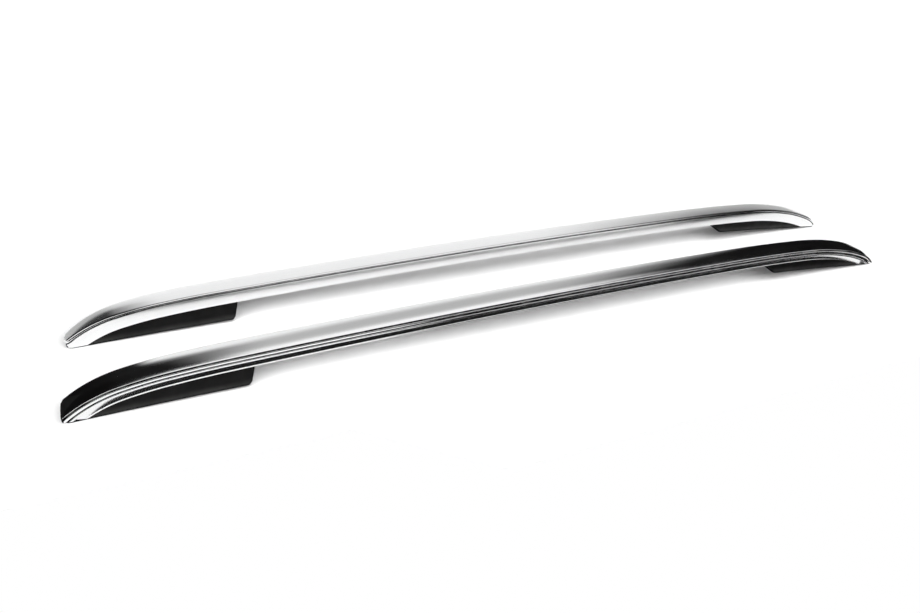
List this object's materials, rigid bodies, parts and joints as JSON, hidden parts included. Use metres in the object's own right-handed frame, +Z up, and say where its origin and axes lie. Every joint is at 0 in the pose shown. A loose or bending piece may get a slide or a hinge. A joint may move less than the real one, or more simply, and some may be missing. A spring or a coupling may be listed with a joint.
{
  "type": "roof side rail pair",
  "caption": "Pair of low arched car roof rails in bright aluminium, each on moulded black end feet with rubber pads, open between the feet for load bar clamps.",
  "frame": {"origin": "midway between the rails and between their tips, on the level of the rail tips", "axes": "+X along the rails towards the front of the car, +Y across towards the left rail, +Z up"},
  "size_m": [1.705, 0.224, 0.086],
  "materials": {
    "aluminium": "bright satin, polished along its length",
    "black_plastic": "fine moulded grain",
    "black_rubber": "dull",
    "zinc_steel": "zinc plated",
    "brass": "turned"
  },
  "bodies": {
    "root": {"right_bar": "aluminium", "right_front_foot": "black_plastic", "right_front_pad": "black_rubber", "right_front_nut_strip": "zinc_steel", "right_front_inserts": "brass", "right_front_screws": "zinc_steel", "right_rear_foot": "black_plastic", "right_rear_pad": "black_rubber", "right_rear_nut_strip": "zinc_steel", "right_rear_inserts": "brass", "right_rear_screws": "zinc_steel", "left_bar": "aluminium", "left_front_foot": "black_plastic", "left_front_pad": "black_rubber", "left_front_nut_strip": "zinc_steel", "left_front_inserts": "brass", "left_front_screws": "zinc_steel", "left_rear_foot": "black_plastic", "left_rear_pad": "black_rubber", "left_rear_nut_strip": "zinc_steel", "left_rear_inserts": "brass", "left_rear_screws": "zinc_steel"}
  },
  "joints": []
}
